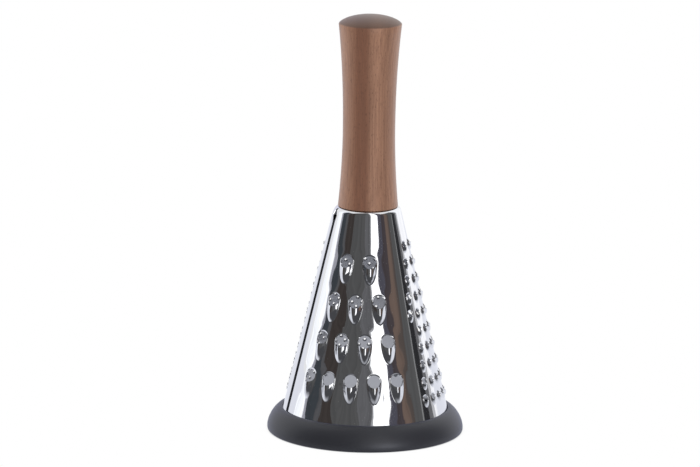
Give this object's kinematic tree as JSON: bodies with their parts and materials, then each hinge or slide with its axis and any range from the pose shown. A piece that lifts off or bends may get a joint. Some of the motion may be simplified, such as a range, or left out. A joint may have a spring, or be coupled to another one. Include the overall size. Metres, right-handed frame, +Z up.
{
  "type": "conical hand grater",
  "caption": "Conical steel hand grater with coarse, medium and fine teeth, a turned wooden handle on top and a black rubber base ring.",
  "frame": {"origin": "centre of the base on the table", "axes": "+Z up along the cone and handle, -Y towards the coarse teeth"},
  "size_m": [0.1206, 0.1206, 0.2593],
  "materials": {
    "wood": "turned reddish-brown hardwood, oiled",
    "polished_steel": "mirror-polished stainless steel",
    "rubber": "matte black",
    "fixing_steel": "plain satin steel"
  },
  "bodies": {
    "root": {"handle": "wood", "grating_cone": "polished_steel", "base_ring": "rubber", "top_plate": "fixing_steel", "washer": "fixing_steel", "handle_screw": "fixing_steel"}
  },
  "joints": []
}
